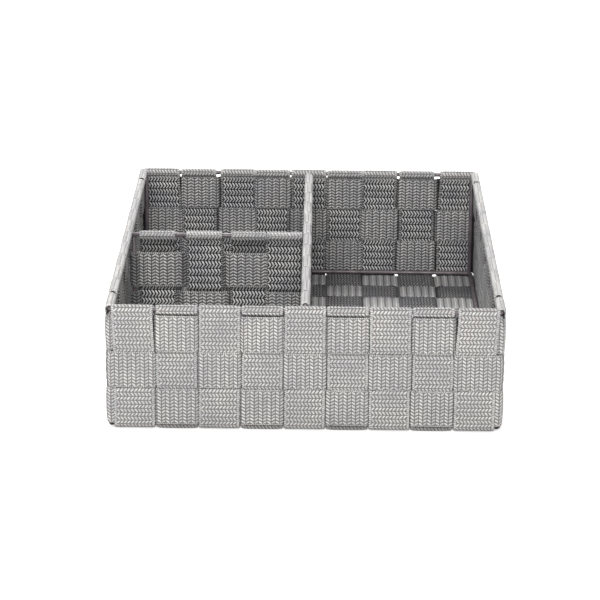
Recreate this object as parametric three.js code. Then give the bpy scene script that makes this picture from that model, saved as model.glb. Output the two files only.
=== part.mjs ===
import * as THREE from 'three';

// A low open tray woven from flat webbing on a wire frame, split into three compartments.
// Millimetres, +Z up, the front faces -Y, and the underside of the floor is at z = 0.
const trayWidth = 250;
const trayDepth = 320;
const trayHeight = 82;

// Webbing of the floor and the walls. The straps and the hoops fill the tray side by side, so
// their widths follow from how many there are and from the gap between neighbours.
const strapThick = 1;
const columnCount = 9;
const columnGap = 0.9;
const rowCount = 12;
const rowGap = 0.9;
const hoopCount = 3;
const hoopGap = 0.7;
const tailLength = 10; // folded strap end, tucked behind the top hoop

// Wire frame
const wireDia = 3;
const rimCornerRadius = 3;
const baseCornerRadius = 4;

// Dividers
const longDividerX = 0;
const crossDividerY = 0;
const longUprightCount = 12;
const longUprightGap = 0.87;
const crossUprightGaps = [8, 5.9, 0.4]; // from the side wall to the long divider
const bandWidth = 24.8;
const bandGap = 3;
const bandTail = 0.5; // strap end past the fold round an end post
const hemTail = 0.6; // strap end past the fold over a divider's top wire
const footTail = 4; // strap end past the fold under a divider's base wire
const belowBandsShare = 0.2; // how much of the open height lies under the bands

// Clearances
const layGap = 0.2; // between two straps where they cross
const wireClear = 0.15; // between a wire and the strap round it
const weldGap = 0.15; // between two wires where they meet
const cornerGap = 0.1; // between the rim folds that meet at a corner
const hoopClear = 0.3; // between the fold at the rim and the top hoop
const dividerGap = 0.3; // between the long divider and the ends of the cross divider's bands
const uprightGap = 0.9; // between the long divider and the nearest upright of the cross divider
const loopGap = 0.4; // between a tail tucked round an end post and the nearest upright

// How a strap goes round a wire and comes back to its own layer
const foldHang = 1.15;
const foldRun = 2.2;
const foldSteps = 4;
const bendSteps = 3;
const wireSides = 8;
const tailStep = 0.3; // a strap starts to close in this far below a tucked end

// Layers, measured in from the outer face of a wall or up from the underside of the floor
const halfThick = strapThick / 2;
const wireRadius = wireDia / 2;
const layPitch = strapThick + layGap;
const outerLay = halfThick;
const innerLay = outerLay + layPitch;
const thirdLay = innerLay + layPitch;
const faceLay = layPitch / 2;

// Wires and the folds round them
const foldRadius = wireRadius + wireClear + halfThick;
const rimInset = foldRadius + halfThick;
const foldDepth = 2 * rimInset;
const baseInset = innerLay + foldRadius;
const postInset = thirdLay + foldRadius;
const endPostInset = foldDepth + wireClear + wireRadius;
const wireEndInset = foldDepth + wireClear;
const rimZ = trayHeight - rimInset;
const hemZ = rimZ - foldHang;
const hemFootZ = hemZ - foldRun;
const tailEndZ = hemFootZ - hoopClear - tailLength;
const dividerBaseZ = innerLay + halfThick + layGap + rimInset;

// Where the straps, the hoops and the divider bands lie
const edgeInset = foldDepth + cornerGap;
const halfWidth = trayWidth / 2;
const halfDepth = trayDepth / 2;
const columns = layOut(edgeInset - halfWidth, halfWidth - edgeInset, evenGaps(columnCount, columnGap));
const rows = layOut(edgeInset - halfDepth, halfDepth - edgeInset, evenGaps(rowCount, rowGap));
const hoops = layOut(baseInset + layGap, hemFootZ - hoopClear, evenGaps(hoopCount, hoopGap));
const loopRoom = foldHang + foldRun + bandTail + loopGap;
const longPostY = halfDepth - endPostInset;
const crossPostX = halfWidth - endPostInset;
const bandsLow = dividerBaseZ + foldHang + foldRun + footTail;
const bandsHigh = hemFootZ - hemTail;
const bandsLift = (bandsHigh - bandsLow - 2 * bandWidth - bandGap) * belowBandsShare;
const bandZ = [0, 1].map((k) => bandsLow + bandsLift + bandWidth / 2 + k * (bandWidth + bandGap));
const longUprights = layOut(
  loopRoom - longPostY, longPostY - loopRoom,
  evenGaps(longUprightCount, longUprightGap),
);
const crossUprights = layOut(
  loopRoom - crossPostX, longDividerX - rimInset - uprightGap,
  crossUprightGaps,
);
const crossEndX = longDividerX - faceLay - halfThick - dividerGap;

const organizer = new THREE.Group();
const webbingColour = '#a3a09d';
const wireColour = '#8f858a';

function evenGaps(count, gap) {
  return new Array(count - 1).fill(gap);
}

// Straps side by side that fill the space between two edges, apart from the gaps between them
function layOut(from, to, gaps) {
  const open = gaps.reduce((sum, gap) => sum + gap, 0);
  const width = (to - from - open) / (gaps.length + 1);
  const centres = [from + width / 2];
  for (const gap of gaps) {
    centres.push(centres.at(-1) + width + gap);
  }
  return { centres, width };
}

// Plain weave: a strap that runs side to side, or the hoop of a front or back wall, lies inside
// at every other crossing. Columns count from the left wall and rows from the front wall, and
// the hoops carry the count on past both ends.
function crossingInside(column, row) {
  return Math.abs(column + row) % 2 === 1;
}

// A centre line is a list of [x, y, faceX, faceY]: a point, and the way that the strap's
// thickness is measured there. sign is 1 for one face of the strap and -1 for the other.
function strapFace(line, sign) {
  return line.map(([x, y, faceX, faceY]) => new THREE.Vector2(
    x + sign * faceX * halfThick,
    y + sign * faceY * halfThick,
  ));
}

function ribbonShape(line) {
  return new THREE.Shape([...strapFace(line, 1), ...strapFace(line, -1).reverse()]);
}

function extrude(shape, width) {
  const geometry = new THREE.ExtrudeGeometry(shape, { depth: width, bevelEnabled: false });
  return geometry.translate(0, 0, -width / 2);
}

function addMesh(name, geometry, colour, metalness, roughness) {
  const material = new THREE.MeshStandardMaterial({ color: colour, metalness, roughness });
  const mesh = new THREE.Mesh(geometry, material);
  mesh.name = name;
  organizer.add(mesh);
  return mesh;
}

function addWebbing(name, shape, width) {
  return addMesh(name, extrude(shape, width), webbingColour, 0, 0.85);
}

function addWire(name, geometry) {
  return addMesh(name, geometry, wireColour, 0.4, 0.45);
}

// One strap's climb from the floor, round the base wire, up a wall, over the rim wire and
// back down to its tucked end. side is the way out; inside(k) tells whether the strap is
// inside at crossing k, with k = -1 for the last crossing on the floor and 0 for the lowest hoop.
function wallRun(half, side, inside) {
  const run = [];
  const put = (inset, z, faceIn, faceUp) => {
    run.push([side * (half - inset), z, -side * faceIn, faceUp]);
  };
  const lay = (k) => (inside(k) ? innerLay : outerLay);
  const top = hoops.centres.length - 1;

  for (let step = 0; step <= bendSteps; step += 1) {
    const turn = step / bendSteps;
    const angle = turn * Math.PI / 2;
    const radius = baseInset - THREE.MathUtils.lerp(lay(-1), lay(0), turn);
    const sine = Math.sin(angle);
    const cosine = Math.cos(angle);
    put(baseInset - radius * sine, baseInset - radius * cosine, -sine, -cosine);
  }
  for (let k = 0; k < top; k += 1) {
    put(lay(k), hoops.centres[k] + hoops.width / 2, -1, 0);
    put(lay(k + 1), hoops.centres[k + 1] - hoops.width / 2, -1, 0);
  }

  const within = inside(top);
  const farSide = rimInset + foldRadius;
  if (within) {
    put(innerLay, tailEndZ - tailStep - foldRun, -1, 0);
    put(thirdLay, tailEndZ - tailStep, -1, 0);
    put(thirdLay, hemFootZ, -1, 0);
    put(farSide, hemZ, -1, 0);
  }
  for (let step = 0; step <= foldSteps; step += 1) {
    const turn = (within ? foldSteps - step : step) / foldSteps;
    const angle = turn * Math.PI;
    const facing = within ? -1 : 1;
    const cosine = Math.cos(angle);
    const sine = Math.sin(angle);
    put(rimInset - foldRadius * cosine, rimZ + foldRadius * sine, -facing * cosine, facing * sine);
  }
  put(within ? outerLay : farSide, hemZ, 1, 0);
  put(innerLay, hemFootZ, 1, 0);
  put(innerLay, tailEndZ, 1, 0);
  return run;
}

// Centre line of a whole strap, from one rim across the floor to the other. crossings are the
// straps that it meets on the floor.
function trayStrap(half, crossings, inside) {
  const last = crossings.centres.length - 1;
  const line = wallRun(half, -1, (k) => inside(-1 - k)).reverse();
  crossings.centres.forEach((centre, k) => {
    const z = inside(k) ? innerLay : outerLay;
    if (k > 0) line.push([centre - crossings.width / 2, z, 0, -1]);
    if (k < last) line.push([centre + crossings.width / 2, z, 0, -1]);
  });
  line.push(...wallRun(half, 1, (k) => inside(last + 1 + k)));
  return line;
}

// Centre line of a hoop round all four walls, turned a little round each corner post
function hoopLine(hoop) {
  const within = hoop === hoopCount - 1 ? thirdLay : innerLay;
  const beyondColumn = columnCount + hoop;
  const beyondRow = rowCount + hoop;
  const walls = [
    { half: halfDepth, reach: halfWidth, stops: columns, turns: 0,
      inside: (k) => crossingInside(k, -1 - hoop) },
    { half: halfWidth, reach: halfDepth, stops: rows, turns: 1,
      inside: (k) => !crossingInside(beyondColumn, k) },
    { half: halfDepth, reach: halfWidth, stops: columns, turns: 2,
      inside: (k) => crossingInside(columnCount - 1 - k, beyondRow) },
    { half: halfWidth, reach: halfDepth, stops: rows, turns: 3,
      inside: (k) => !crossingInside(-1 - hoop, rowCount - 1 - k) },
  ];
  const lay = (wall, k) => (wall.inside(k) ? within : outerLay);
  const line = [];

  walls.forEach((wall, index) => {
    const quarter = wall.turns * Math.PI / 2;
    const put = (along, inset, faceAlong, faceOut) => {
      const spot = new THREE.Vector2(along, inset - wall.half).rotateAround(new THREE.Vector2(), quarter);
      const face = new THREE.Vector2(faceAlong, -faceOut).rotateAround(new THREE.Vector2(), quarter);
      line.push([spot.x, spot.y, face.x, face.y]);
    };
    const { centres, width } = wall.stops;
    const last = centres.length - 1;
    centres.forEach((centre, k) => {
      if (k > 0) put(centre - width / 2, lay(wall, k), 0, 1);
      if (k < last) put(centre + width / 2, lay(wall, k), 0, 1);
    });
    const next = walls[(index + 1) % walls.length];
    for (let step = 0; step <= bendSteps; step += 1) {
      const turn = step / bendSteps;
      const angle = turn * Math.PI / 2;
      const radius = postInset - THREE.MathUtils.lerp(lay(wall, last), lay(next, 0), turn);
      const sine = Math.sin(angle);
      const cosine = Math.cos(angle);
      put(wall.reach - postInset + radius * sine, postInset - radius * cosine, sine, cosine);
    }
  });
  return line;
}

function hoopShape(hoop) {
  const line = hoopLine(hoop);
  const shape = new THREE.Shape(strapFace(line, 1));
  shape.holes.push(new THREE.Path(strapFace(line, -1)));
  return shape;
}

// A divider strap's turn round a wire at its end. towards is the way along the strap to the
// wire, and the strap proper arrives on the given side and ends in a short tail on the other.
function endLoop(wireAt, towards, side, tail) {
  const foot = foldHang + foldRun;
  const put = (back, across, face) => [wireAt - towards * back, across, 0, face];
  const loop = [
    put(foot + tail, -side * faceLay, -1),
    put(foot, -side * faceLay, -1),
    put(foldHang, -side * foldRadius, -1),
  ];
  for (let step = 0; step <= foldSteps; step += 1) {
    const angle = step * Math.PI / foldSteps;
    const sine = Math.sin(angle);
    const cosine = Math.cos(angle);
    loop.push([
      wireAt + towards * foldRadius * sine, -side * foldRadius * cosine,
      towards * side * sine, -cosine,
    ]);
  }
  loop.push(put(foldHang, side * foldRadius, 1));
  loop.push(put(foot, side * faceLay, 1));
  return loop;
}

// Centre line of a divider strap, as [along, across, ...]. The crossings are { from, to, side },
// and an end is { wire, tail } where it loops round a wire or { stop } where it is cut off.
function dividerStrap(crossings, lowEnd, highEnd) {
  const first = crossings[0].side;
  const final = crossings.at(-1).side;
  const line = 'stop' in lowEnd
    ? [[lowEnd.stop, first * faceLay, 0, 1]]
    : endLoop(lowEnd.wire, -1, first, lowEnd.tail);
  for (let k = 1; k < crossings.length; k += 1) {
    line.push([crossings[k - 1].to, crossings[k - 1].side * faceLay, 0, 1]);
    line.push([crossings[k].from, crossings[k].side * faceLay, 0, 1]);
  }
  const ending = 'stop' in highEnd
    ? [[highEnd.stop, final * faceLay, 0, 1]]
    : endLoop(highEnd.wire, 1, final, highEnd.tail).reverse();
  return [...line, ...ending];
}

// A ring of wire round the tray, with rounded corners
function wireRing(inset, z, cornerRadius) {
  const cornerX = halfWidth - inset - cornerRadius;
  const cornerY = halfDepth - inset - cornerRadius;
  const corners = [[cornerX, cornerY], [-cornerX, cornerY], [-cornerX, -cornerY], [cornerX, -cornerY]];
  const positions = [];
  corners.forEach(([x, y], corner) => {
    for (let step = 0; step <= bendSteps; step += 1) {
      const turn = (corner + step / bendSteps) * Math.PI / 2;
      for (let side = 0; side < wireSides; side += 1) {
        const angle = side * 2 * Math.PI / wireSides;
        const out = cornerRadius + wireRadius * Math.cos(angle);
        positions.push(x + out * Math.cos(turn), y + out * Math.sin(turn), z + wireRadius * Math.sin(angle));
      }
    }
  });
  const count = positions.length / 3;
  const indices = [];
  for (let start = 0; start < count; start += wireSides) {
    for (let side = 0; side < wireSides; side += 1) {
      const next = (side + 1) % wireSides;
      const a = start + side;
      const b = start + next;
      const c = (a + wireSides) % count;
      const d = (b + wireSides) % count;
      indices.push(a, c, b, b, c, d);
    }
  }
  const geometry = new THREE.BufferGeometry();
  geometry.setAttribute('position', new THREE.Float32BufferAttribute(positions, 3));
  geometry.setIndex(indices);
  geometry.computeVertexNormals();
  return geometry;
}

function straightWire(length) {
  return new THREE.CylinderGeometry(wireRadius, wireRadius, length, wireSides);
}

function addPost(name, x, y, low, high) {
  const post = addWire(name, straightWire(high - low));
  post.rotation.x = Math.PI / 2;
  post.position.set(x, y, (low + high) / 2);
}

function addFrameWires() {
  addWire('rim_wire', wireRing(rimInset, rimZ, rimCornerRadius));
  addWire('base_wire', wireRing(baseInset, baseInset, baseCornerRadius));
  const low = baseInset + wireRadius + weldGap;
  const high = hemFootZ;
  const postX = halfWidth - postInset;
  const postY = halfDepth - postInset;
  addPost('corner_post_front_left', -postX, -postY, low, high);
  addPost('corner_post_front_right', postX, -postY, low, high);
  addPost('corner_post_back_left', -postX, postY, low, high);
  addPost('corner_post_back_right', postX, postY, low, high);
}

// Straps from the front rim to the back rim, drawn in the YZ plane
function addLengthwiseStraps() {
  columns.centres.forEach((x, column) => {
    const line = trayStrap(halfDepth, rows, (row) => !crossingInside(column, row));
    const strap = addWebbing(`lengthwise_strap_${column + 1}`, ribbonShape(line), columns.width);
    strap.rotation.set(Math.PI / 2, 0, Math.PI / 2, 'ZYX');
    strap.position.x = x;
  });
}

// Straps from the left rim to the right rim, drawn in the XZ plane
function addCrosswiseStraps() {
  rows.centres.forEach((y, row) => {
    const line = trayStrap(halfWidth, columns, (column) => crossingInside(column, row));
    const strap = addWebbing(`crosswise_strap_${row + 1}`, ribbonShape(line), rows.width);
    strap.rotation.x = Math.PI / 2;
    strap.position.y = y;
  });
}

function addHoops() {
  hoops.centres.forEach((z, hoop) => {
    addWebbing(`wall_hoop_${hoop + 1}`, hoopShape(hoop), hoops.width).position.z = z;
  });
}

// Side of an upright where it passes the lower band. The next one is on the other side, and
// every upright changes sides between the bands.
function uprightSide(index) {
  return index % 2 === 0 ? -1 : 1;
}

function uprightShape(index) {
  const crossings = bandZ.map((z, band) => ({
    from: z - bandWidth / 2,
    to: z + bandWidth / 2,
    side: band === 0 ? uprightSide(index) : -uprightSide(index),
  }));
  const low = { wire: dividerBaseZ, tail: footTail };
  return ribbonShape(dividerStrap(crossings, low, { wire: rimZ, tail: hemTail }));
}

function bandShape(band, uprights, lowEnd, highEnd) {
  const crossings = uprights.centres.map((centre, index) => ({
    from: centre - uprights.width / 2,
    to: centre + uprights.width / 2,
    side: band === 0 ? -uprightSide(index) : uprightSide(index),
  }));
  return ribbonShape(dividerStrap(crossings, lowEnd, highEnd));
}

function addDividerPost(name, x, y) {
  addPost(name, x, y, dividerBaseZ + wireRadius + weldGap, rimZ - wireRadius - weldGap);
}

// The long divider runs from the front wall to the back wall
function addLongDivider() {
  const wireLength = 2 * (halfDepth - wireEndInset);
  addWire('long_divider_top_wire', straightWire(wireLength)).position.set(longDividerX, 0, rimZ);
  addWire('long_divider_base_wire', straightWire(wireLength)).position.set(longDividerX, 0, dividerBaseZ);
  addDividerPost('long_divider_post_front', longDividerX, -longPostY);
  addDividerPost('long_divider_post_back', longDividerX, longPostY);
  longUprights.centres.forEach((y, index) => {
    const upright = addWebbing(`long_divider_upright_${index + 1}`, uprightShape(index), longUprights.width);
    upright.rotation.set(0, -Math.PI / 2, Math.PI / 2, 'ZYX');
    upright.position.set(longDividerX, y, 0);
  });
  bandZ.forEach((z, band) => {
    const end = { wire: longPostY, tail: bandTail };
    const shape = bandShape(band, longUprights, { wire: -longPostY, tail: bandTail }, end);
    const strap = addWebbing(`long_divider_band_${band + 1}`, shape, bandWidth);
    strap.rotation.z = Math.PI / 2;
    strap.position.set(longDividerX, 0, z);
  });
}

// The cross divider runs from the left wall to the long divider
function addCrossDivider() {
  const wireLow = wireEndInset - halfWidth;
  const wireHigh = longDividerX - rimInset - weldGap;
  const wireMiddle = (wireLow + wireHigh) / 2;
  [['cross_divider_top_wire', rimZ], ['cross_divider_base_wire', dividerBaseZ]].forEach(([name, z]) => {
    const wire = addWire(name, straightWire(wireHigh - wireLow));
    wire.rotation.z = Math.PI / 2;
    wire.position.set(wireMiddle, crossDividerY, z);
  });
  addDividerPost('cross_divider_post', -crossPostX, crossDividerY);
  crossUprights.centres.forEach((x, index) => {
    const name = `cross_divider_upright_${index + 1}`;
    const upright = addWebbing(name, uprightShape(index), crossUprights.width);
    upright.rotation.set(0, -Math.PI / 2, 0);
    upright.position.set(x, crossDividerY, 0);
  });
  bandZ.forEach((z, band) => {
    const low = { wire: -crossPostX, tail: bandTail };
    const shape = bandShape(band, crossUprights, low, { stop: crossEndX });
    addWebbing(`cross_divider_band_${band + 1}`, shape, bandWidth).position.set(0, crossDividerY, z);
  });
}

addFrameWires();
addLengthwiseStraps();
addCrosswiseStraps();
addHoops();
addLongDivider();
addCrossDivider();

export default organizer;
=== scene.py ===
import math

import bpy
import numpy as np
from mathutils import Matrix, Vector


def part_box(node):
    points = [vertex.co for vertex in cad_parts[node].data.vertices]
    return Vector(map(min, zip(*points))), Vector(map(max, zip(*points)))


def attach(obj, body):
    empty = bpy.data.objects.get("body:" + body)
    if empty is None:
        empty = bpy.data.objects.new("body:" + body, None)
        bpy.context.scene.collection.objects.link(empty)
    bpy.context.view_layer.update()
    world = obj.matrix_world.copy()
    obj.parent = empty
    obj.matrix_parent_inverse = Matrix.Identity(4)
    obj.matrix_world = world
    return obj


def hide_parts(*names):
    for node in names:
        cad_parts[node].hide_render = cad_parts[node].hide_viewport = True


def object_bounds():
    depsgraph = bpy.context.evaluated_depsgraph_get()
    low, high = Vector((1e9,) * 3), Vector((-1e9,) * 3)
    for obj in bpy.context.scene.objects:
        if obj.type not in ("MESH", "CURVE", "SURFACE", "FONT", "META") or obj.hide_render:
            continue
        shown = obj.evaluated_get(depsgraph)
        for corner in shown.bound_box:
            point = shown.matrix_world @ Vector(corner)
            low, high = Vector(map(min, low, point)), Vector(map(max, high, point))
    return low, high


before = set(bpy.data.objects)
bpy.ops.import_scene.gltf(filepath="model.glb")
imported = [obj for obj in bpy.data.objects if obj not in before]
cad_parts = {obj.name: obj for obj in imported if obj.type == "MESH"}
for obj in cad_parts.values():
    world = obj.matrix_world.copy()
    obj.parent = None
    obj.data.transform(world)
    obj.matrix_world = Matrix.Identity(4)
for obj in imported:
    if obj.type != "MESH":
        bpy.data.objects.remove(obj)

# A bathroom tray woven from flat webbing on a wire frame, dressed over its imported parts. Lengths
# are in millimetres, the front faces -Y, and the underside of the floor is at z = 0.
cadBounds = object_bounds()
mm = 0.001


def hexColour(text):  # "#rrggbb", as a screen shows it, to linear
    values = [int(text[k:k + 2], 16) / 255 for k in (1, 3, 5)]
    linear = [v / 12.92 if v <= 0.04045 else ((v + 0.055) / 1.055) ** 2.4 for v in values]
    return (*linear, 1.0)


def boxOf(node):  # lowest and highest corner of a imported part
    return [np.array(corner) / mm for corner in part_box(node)]


def middleOf(node):
    return sum(boxOf(node)) / 2


def numbered(stem):  # stem_1, stem_2 and so on, as many as the frame has
    count = sum(name.startswith(stem) and name[len(stem):].isdigit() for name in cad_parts)
    return [f"{stem}{k + 1}" for k in range(count)]


# The tray as it was packed
trayLow, trayHigh = (np.array(corner) / mm for corner in cadBounds)
tray = {
    "halfWidth": (trayHigh[0] - trayLow[0]) / 2,
    "halfDepth": (trayHigh[1] - trayLow[1]) / 2,
    "columns": [middleOf(name)[0] for name in numbered("lengthwise_strap_")],
    "rows": [middleOf(name)[1] for name in numbered("crosswise_strap_")],
    "hoops": [middleOf(name)[2] for name in numbered("wall_hoop_")],
    "columnWidth": np.ptp([corner[0] for corner in boxOf("lengthwise_strap_1")]),
    "rowWidth": np.ptp([corner[1] for corner in boxOf("crosswise_strap_1")]),
    "hoopWidth": np.ptp([corner[2] for corner in boxOf("wall_hoop_1")]),
    "rim": middleOf("rim_wire")[2],
    "base": middleOf("base_wire")[2],
}

# Layers of webbing, measured in from the outer face of a wall or up from the underside of the
# floor to the middle of the strap, and how a strap goes round a wire
lay = {
    "outer": 0.5,
    "inner": 1.7,
    "third": 2.9,
    "face": 0.6,  # to either side of the middle of a divider
    "foldRadius": 2.45,  # of the turn over a wire, to the middle of the strap
    "rimInset": 2.95,  # how far in the middle of that turn is at the rim
    "postInset": 5.05,  # and the middle of a hoop's turn at a corner post
    "foldHang": 1.15,  # a fold ends this far below the middle of the wire
    "foldRun": 2.2,  # and lies flat against the strap this far below that
    "tail": 10.0,  # what is tucked away below the hem of the rim
    "tailClear": 0.3,  # room round that tail
    "hemTail": 0.6,  # what is left past the fold over a divider's top wire
    "footTail": 4.0,  # under its base wire
    "bandTail": 0.5,  # and round its end post
    "dive": 0.9,  # a strap starts to dive this far before the edge of the one it crosses
    "bendSteps": 8,
}
lay["hem"] = tray["rim"] - lay["foldHang"]
lay["hemFoot"] = lay["hem"] - lay["foldRun"]
lay["tailEnd"] = lay["hemFoot"] - lay["tailClear"] - lay["tail"]

# What weaving by hand adds to the even grid
handwork = {
    "spare": 0.4,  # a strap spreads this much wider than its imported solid
    "hoopSpare": 1.0,  # and a hoop this much
    "bulge": 0.4,  # a patch stands out this far over its middle, times a number in this range:
    "bulgeRange": (0.7, 1.25),
    "sway": 0.16,  # a strap wanders about this far to either side
    "swayWaves": (2, 3, 5, 8),  # in so many waves from end to end
    "offTable": 0.4,  # the ribs of the floor's lowest patches need this room
    # how far each lengthwise strap has strayed to the right by the time it reaches the back
    "stray": [-0.5, -1.1, 1.0, -0.4, 0.0, -0.3, -1.6, -0.3, 1.6],
    "cornerLean": 3.2,  # the outermost side straps lean to the corner at the rim
    "frontLean": 1.2,  # and so do the first and the last lengthwise one, less
    "leanFrom": 50.0,  # height where that lean starts
    # seed of the bulges of the first strap of each kind
    "seeds": {"lengthwise": 1000, "crosswise": 1100, "hoop": 1200, "upright": 1300, "band": 1400},
    "dividerSeeds": 20,  # from one divider to the other
}

# Polypropylene webbing, 25 mm wide: a herringbone face with a weft rib at every second turn of
# the zigzag and a groove between the ribs, and a narrow barred selvedge
webbing = {
    "chevron": 5.35,  # one zigzag, from rib to rib
    "stitchPitch": 2.23,  # from one zigzag line to the next, across the strap
    "slant": 0.62,  # a stitch goes this far sideways for each millimetre along
    # height of the face along one zigzag, from the rib: share of its length, millimetres
    "relief": [(0, 0.36), (0.09, 0.25), (0.2, 0.07), (0.36, 0.04),
               (0.5, -0.12), (0.64, 0.04), (0.8, 0.07), (0.91, 0.25)],
    "scallop": 0.3,  # the edges are drawn in this far between two ribs
    "crown": 0.42,  # the edges are pressed back this far where straps cross
    "soften": 0.62,  # rounds the bends of the centre line
    "fineStep": 0.2,  # from point to point while they are rounded
    "sharpTurn": 0.26,  # radians between two cuts that call for one more
    "moreCuts": 3,  # and at most this many more
    "nextStrap": 100,  # zigzags from where one strap's weave starts to where the next one's does
    # from the edge inwards: distance, half thickness, share of the relief, share of the scallop
    "section": [(0.0, 0.0, 0.0, 1.0), (0.22, 0.26, 0.35, 0.9), (0.9, 0.42, 0.8, 0.5),
                (1.7, 0.36, 0.7, 0.15), (2.6, 0.42, 1.0, 0.0), (8.0, 0.43, 1.0, 0.0)],
    # shares of the sheet that a bake is laid out on: its margin, and a cut end in that margin
    "bakeMargin": 0.012,
    "endThick": 0.4,
    "endWide": 0.2,
}
print("sizes read off the frame")


# Centre lines are points of (along, up, pressed). pressed is 1 where the strap lies on the
# outside of the one it crosses, -1 on the inside, and 0 where it crosses none.
def insideWeave(column, row):  # plain weave, counted from the left wall and the front wall
    return abs(column + row) % 2 == 1


def pillow(start, end):  # where the points of one patch lie, and their share of the bulge
    return [(start + (end - start) * share, rise)
            for share, rise in ((0, 0), (0.25, 0.7), (0.5, 1), (0.75, 0.7), (1, 0))]


def bulgeFor(kind, index):  # no two patches stand out quite alike
    random = np.random.default_rng(handwork["seeds"][kind] + index)
    return lambda: handwork["bulge"] * random.uniform(*handwork["bulgeRange"])


# From the floor round the base wire, up a wall, over the rim wire and down to the tucked end
def wallLine(half, side, inside, bulge):
    points = []

    def put(inset, z, pressed):
        points.append((side * (half - inset), z, pressed))

    def level(k):
        return lay["inner"] if inside(k) else lay["outer"]

    def press(k):
        return -1 if inside(k) else 1

    base, wide = tray["base"], tray["hoopWidth"]
    turns = [step / lay["bendSteps"] for step in range(lay["bendSteps"] + 1)]
    for turn in turns:
        angle = turn * math.pi / 2
        radius = base - (level(-1) * (1 - turn) + level(0) * turn)
        pressed = press(-1) * (1 - turn) + press(0) * turn
        put(base - radius * math.sin(angle), base - radius * math.cos(angle), pressed)
    top = len(tray["hoops"]) - 1
    for k in range(top):
        low = base + lay["dive"] if k == 0 else tray["hoops"][k] - wide / 2 + lay["dive"]
        for z, rise in pillow(low, tray["hoops"][k] + wide / 2 - lay["dive"]):
            put(level(k) - press(k) * rise * bulge(), z, press(k))

    low = tray["hoops"][top] - wide / 2 + lay["dive"]
    farSide = lay["rimInset"] + lay["foldRadius"]
    if inside(top):
        put(lay["inner"], low, -1)
        put(lay["inner"], lay["tailEnd"] - lay["foldRun"], -1)
        put(lay["third"], lay["tailEnd"], -1)
        put(lay["third"] + bulge() / 2, (lay["tailEnd"] + lay["hemFoot"]) / 2, -1)
        put(lay["third"], lay["hemFoot"], -0.5)
        put(farSide, lay["hem"], 0)
        turns = turns[::-1]
    else:
        for z, rise in pillow(low, lay["hem"]):
            overTail = max(0, z - lay["tailEnd"]) / (2 * lay["tail"])
            put(lay["outer"] - rise * bulge(), z, 1 - overTail)
    for turn in turns:
        angle = turn * math.pi
        put(lay["rimInset"] - lay["foldRadius"] * math.cos(angle),
            tray["rim"] + lay["foldRadius"] * math.sin(angle), 0)
    put(lay["outer"] if inside(top) else farSide, lay["hem"], 0)
    put(lay["inner"], lay["hemFoot"], 0)
    put(lay["inner"], lay["tailEnd"], 0)
    return points


# A whole strap from one rim across the floor to the other
def trayStrapLine(half, crossings, crossingWidth, inside, bulge):
    last = len(crossings) - 1
    points = wallLine(half, -1, lambda k: inside(-1 - k), bulge)[::-1]
    reach = half - tray["base"] - lay["dive"]
    for k, centre in enumerate(crossings):
        start = centre - crossingWidth / 2 + lay["dive"] if k > 0 else -reach
        end = centre + crossingWidth / 2 - lay["dive"] if k < last else reach
        for at, rise in pillow(start, end):
            if inside(k):
                points.append((at, lay["inner"] + rise * bulge(), -1))
            else:  # it lies flat on the table
                points.append((at, lay["outer"] + handwork["offTable"], 1))
    return points + wallLine(half, 1, lambda k: inside(last + 1 + k), bulge)


# Round all four walls, anticlockwise from the front
def hoopLine(hoop, backColumns, bulge):
    within = lay["third"] if hoop == len(tray["hoops"]) - 1 else lay["inner"]
    columnCount, rowCount = len(tray["columns"]), len(tray["rows"])
    frontSize = (tray["halfDepth"], tray["halfWidth"], tray["columnWidth"])
    flankSize = (tray["halfWidth"], tray["halfDepth"], tray["rowWidth"])
    walls = [
        (*frontSize, tray["columns"], lambda k: insideWeave(k, -1 - hoop)),
        (*flankSize, tray["rows"], lambda k: not insideWeave(columnCount + hoop, k)),
        (*frontSize, backColumns, lambda k: insideWeave(columnCount - 1 - k, rowCount + hoop)),
        (*flankSize, tray["rows"], lambda k: not insideWeave(-1 - hoop, rowCount - 1 - k)),
    ]
    points = []

    def put(quarter, along, inset, half, pressed):
        x, y = along, inset - half
        for _ in range(quarter):
            x, y = -y, x
        points.append((x, y, pressed))

    for quarter, (half, reach, wide, stops, inside) in enumerate(walls):
        last = len(stops) - 1
        bend = reach - lay["postInset"]
        for k, centre in enumerate(stops):
            start = centre - wide / 2 + lay["dive"] if k > 0 else lay["dive"] - bend
            end = centre + wide / 2 - lay["dive"] if k < last else bend - lay["dive"]
            depth, pressed = (within, -1) if inside(k) else (lay["outer"], 1)
            for at, rise in pillow(start, end):
                put(quarter, at, depth - pressed * rise * bulge(), half, pressed)
        insideNext = walls[(quarter + 1) % len(walls)][-1](0)
        here, there = (within if flag else lay["outer"] for flag in (inside(last), insideNext))
        for step in range(lay["bendSteps"] + 1):
            turn = step / lay["bendSteps"]
            angle = turn * math.pi / 2
            radius = lay["postInset"] - (here * (1 - turn) + there * turn)
            put(quarter, bend + radius * math.sin(angle),
                lay["postInset"] - radius * math.cos(angle), half, 1)
    return points


# A divider strap's turn round a wire: it starts with a short tail and goes on along side
def wireLoop(wireAt, towards, side, tail):
    foot = lay["foldHang"] + lay["foldRun"]
    points = [(wireAt - towards * back, -side * across, 0) for back, across in (
        (foot + tail, lay["face"]), (foot, lay["face"]), (lay["foldHang"], lay["foldRadius"]))]
    for step in range(lay["bendSteps"] + 1):
        angle = step / lay["bendSteps"] * math.pi
        points.append((wireAt + towards * lay["foldRadius"] * math.sin(angle),
                       -side * lay["foldRadius"] * math.cos(angle), 0))
    points.append((wireAt - towards * lay["foldHang"], side * lay["foldRadius"], 0))
    points.append((wireAt - towards * foot, side * lay["face"], 0))
    return points


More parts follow.
